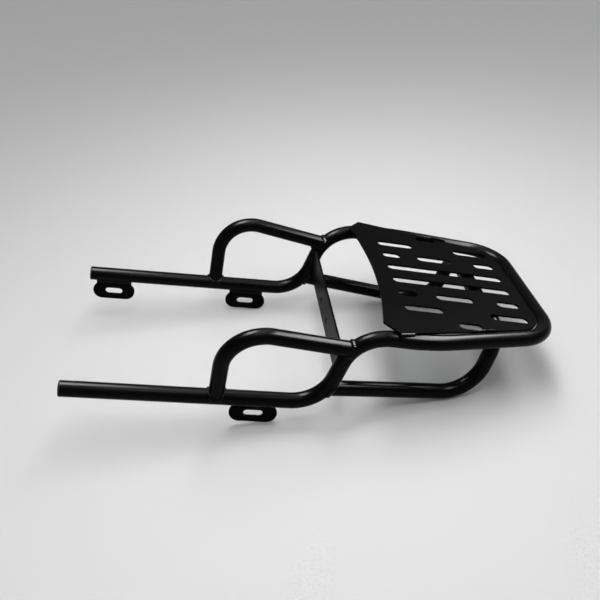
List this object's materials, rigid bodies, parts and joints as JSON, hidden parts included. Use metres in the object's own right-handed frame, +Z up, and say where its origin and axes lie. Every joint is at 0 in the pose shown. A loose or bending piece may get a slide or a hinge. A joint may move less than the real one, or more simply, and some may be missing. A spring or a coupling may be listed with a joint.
{
  "type": "motorcycle luggage rack",
  "caption": "Black welded tube rack bolted behind a motorcycle seat: rails rising to a hoop with a slotted luggage plate, side grab handles, a lower support tube and slotted mounting tabs.",
  "frame": {"origin": "under the middle of the rack's bounding box, level with the lowest edge of the mounting tabs", "axes": "+X from the front ends of the rails to the rear of the hoop, +Y to the right of the motorcycle, +Z up; the rails lie along X"},
  "size_m": [0.678, 0.3494, 0.1736],
  "materials": {
    "tube_coat": "black powder coat, satin",
    "sheet_coat": "black powder coat, satin to matte on flat sheet",
    "weld_coat": "black powder coat over rippled weld",
    "cap_plastic": "moulded black plastic"
  },
  "bodies": {
    "root": {"main_tube": "tube_coat", "left_grab_tube": "tube_coat", "right_grab_tube": "tube_coat", "lower_support_tube": "tube_coat", "cross_strap": "sheet_coat", "top_plate": "sheet_coat", "left_mid_tab": "sheet_coat", "right_mid_tab": "sheet_coat", "right_front_tab": "sheet_coat", "left_end_cap": "cap_plastic", "right_end_cap": "cap_plastic", "left_grab_foot_weld": "weld_coat", "right_grab_foot_weld": "weld_coat", "left_grab_top_weld": "weld_coat", "right_grab_top_weld": "weld_coat", "left_leg_weld": "weld_coat", "right_leg_weld": "weld_coat", "left_strap_weld": "weld_coat", "right_strap_weld": "weld_coat", "left_mid_tab_weld": "weld_coat", "right_mid_tab_weld": "weld_coat", "right_front_tab_weld": "weld_coat", "left_plate_welds": "weld_coat", "right_plate_welds": "weld_coat", "cross_part_welds": "weld_coat"}
  },
  "joints": []
}
